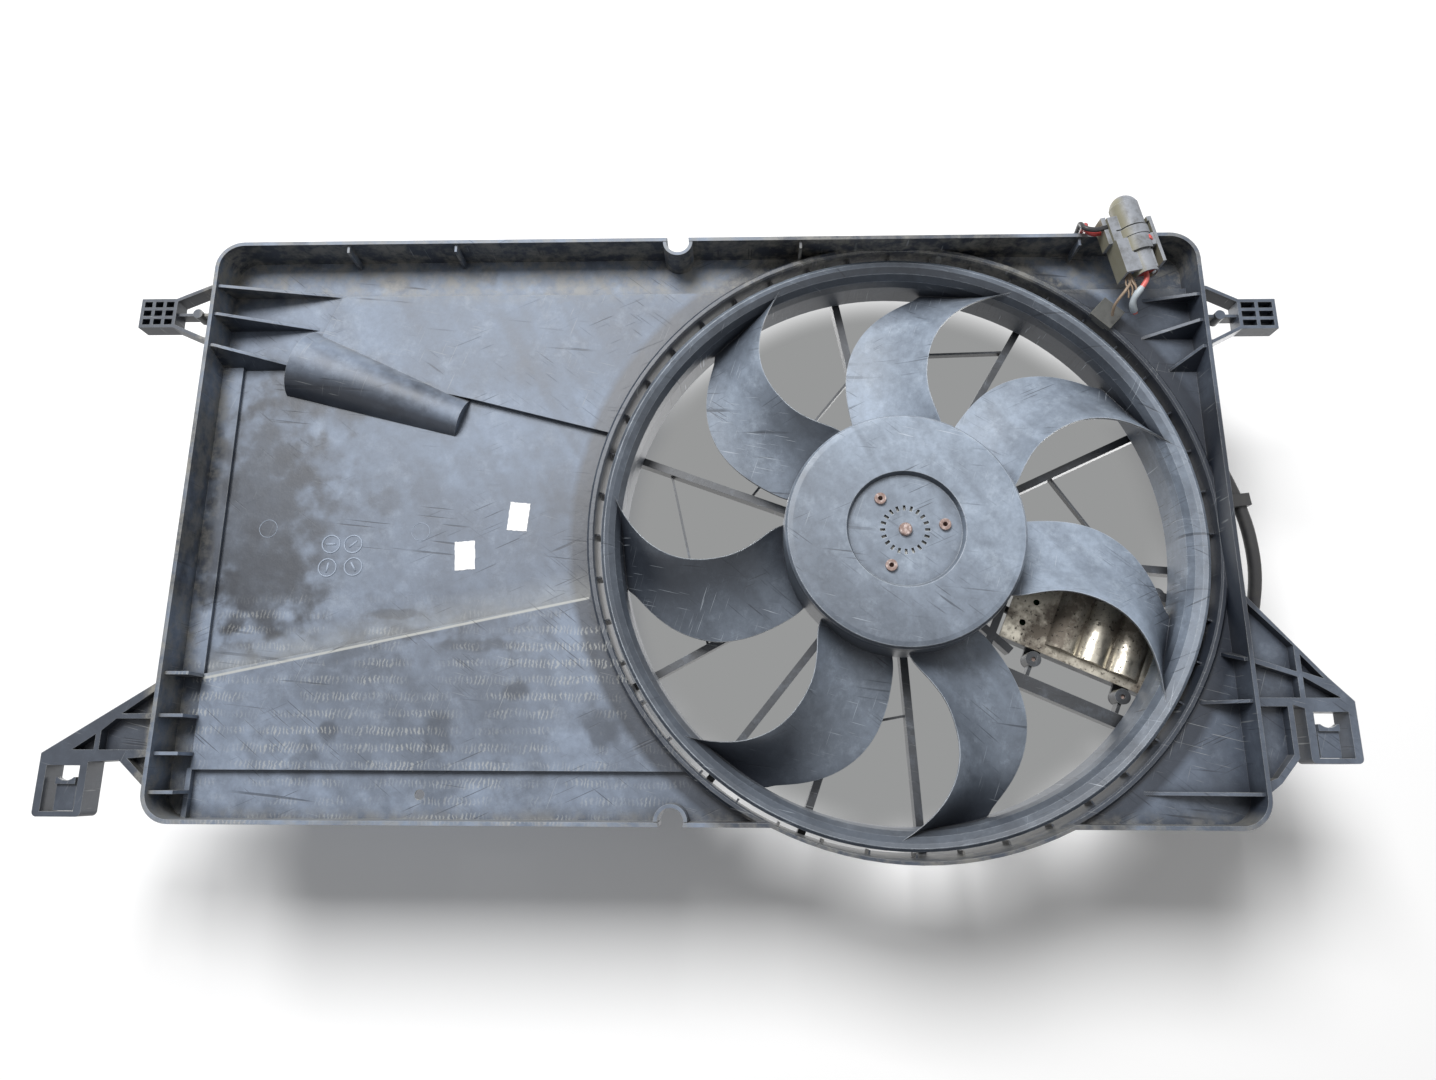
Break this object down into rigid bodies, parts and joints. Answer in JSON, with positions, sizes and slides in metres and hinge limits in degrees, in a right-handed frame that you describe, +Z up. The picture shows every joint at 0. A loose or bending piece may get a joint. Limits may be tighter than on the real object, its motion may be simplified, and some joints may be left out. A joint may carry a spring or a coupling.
{
  "type": "radiator fan",
  "caption": "Engine cooling fan with a sickle bladed impeller and electric motor in a plastic radiator shroud, with control module and harness.",
  "frame": {"origin": "fan axis at the plane of the lip that seals on the radiator", "axes": "+X across the car to the right as seen from the radiator, +Y from the radiator to the engine, +Z up"},
  "size_m": [0.7655, 0.1151, 0.4094],
  "materials": {
    "shroud_plastic": "moulded, dusty",
    "carrier_plastic": "moulded, dusty",
    "fan_plastic": "moulded, scuffed",
    "zinc_steel": "zinc plated",
    "rusty_steel": "lightly rusted",
    "bearing_steel": "ground",
    "ferrite": "sintered",
    "core_steel": "stamped laminations",
    "copper": "drawn",
    "graphite": "pressed",
    "spring_steel": "drawn",
    "card_plastic": "moulded",
    "module_plastic": "moulded",
    "cover_aluminium": "pressed, stained",
    "board_laminate": "lacquered",
    "chip_plastic": "moulded",
    "capacitor_can": "sleeved",
    "connector_plastic": "moulded",
    "terminal_brass": "tinned",
    "red_seal": "silicone",
    "blue_seal": "silicone",
    "black_rubber": "moulded",
    "loom_sleeve": "corrugated",
    "red_insulation": "extruded",
    "black_insulation": "extruded",
    "pink_insulation": "extruded",
    "tan_insulation": "extruded",
    "anchor_plastic": "moulded"
  },
  "bodies": {
    "shroud_body": {"shroud": "shroud_plastic", "motor_carrier": "carrier_plastic", "motor_can": "zinc_steel", "motor_end_cap": "zinc_steel", "motor_grommet": "black_rubber", "motor_lead": "loom_sleeve", "motor_magnets": "ferrite", "front_bearing": "bearing_steel", "rear_bearing": "bearing_steel", "brush_card": "card_plastic", "upper_brush_spring": "spring_steel", "lower_brush_spring": "spring_steel", "motor_bolts": "rusty_steel", "module_housing": "module_plastic", "circuit_board": "board_laminate", "power_transistors": "chip_plastic", "filter_capacitor": "capacitor_can", "heat_cover": "cover_aluminium", "module_screws": "rusty_steel", "connector_housing": "connector_plastic", "connector_mate": "connector_plastic", "connector_terminals": "terminal_brass", "main_seal": "red_seal", "side_seal": "blue_seal", "harness_loom": "loom_sleeve", "loom_clips": "loom_sleeve", "red_supply_wire": "red_insulation", "black_supply_wire": "black_insulation", "power_stub": "pink_insulation", "signal_stub": "tan_insulation", "harness_anchor": "anchor_plastic"},
    "rotor": {"fan_impeller": "fan_plastic", "drive_plate": "zinc_steel", "hub_screws": "rusty_steel", "motor_shaft": "rusty_steel", "armature_core": "core_steel", "armature_windings": "copper", "commutator": "copper"},
    "left_latch": {"left_latch": "shroud_plastic"},
    "right_latch": {"right_latch": "shroud_plastic"},
    "upper_brush": {"upper_brush": "graphite"},
    "lower_brush": {"lower_brush": "graphite"},
    "lock_lever": {"lock_lever": "connector_plastic"}
  },
  "joints": [
    {"name": "fan_spin", "type": "hinge", "parent": "shroud_body", "child": "rotor", "pos_m": [0, 0.05, 0], "axis": [0, 1, 0], "continuous": true},
    {"name": "left_latch_flex", "type": "hinge", "parent": "shroud_body", "child": "left_latch", "pos_m": [-0.4995, 0.011, -0.1687], "axis": [1, 0, 0], "range_deg": [-10, 2], "stiffness_Nm_per_rad": 0.05},
    {"name": "right_latch_flex", "type": "hinge", "parent": "shroud_body", "child": "right_latch", "pos_m": [0.237, 0.011, -0.1357], "axis": [1, 0, 0], "range_deg": [-10, 2], "stiffness_Nm_per_rad": 0.05},
    {"name": "upper_brush_travel", "type": "slide", "parent": "shroud_body", "child": "upper_brush", "axis": [0, 0, 1], "range_m": [0, 0.0025], "stiffness_N_per_m": 300, "springref_m": -0.004, "deforming": ["upper_brush_spring"]},
    {"name": "lower_brush_travel", "type": "slide", "parent": "shroud_body", "child": "lower_brush", "axis": [0, 0, -1], "range_m": [0, 0.0025], "stiffness_N_per_m": 300, "springref_m": -0.004, "deforming": ["lower_brush_spring"]},
    {"name": "lock_lever_tilt", "type": "hinge", "parent": "shroud_body", "child": "lock_lever", "pos_m": [0.16107, -0.011, 0.18117], "axis": [0, 1, 0], "range_deg": [0, 8], "stiffness_Nm_per_rad": 0.02}
  ]
}
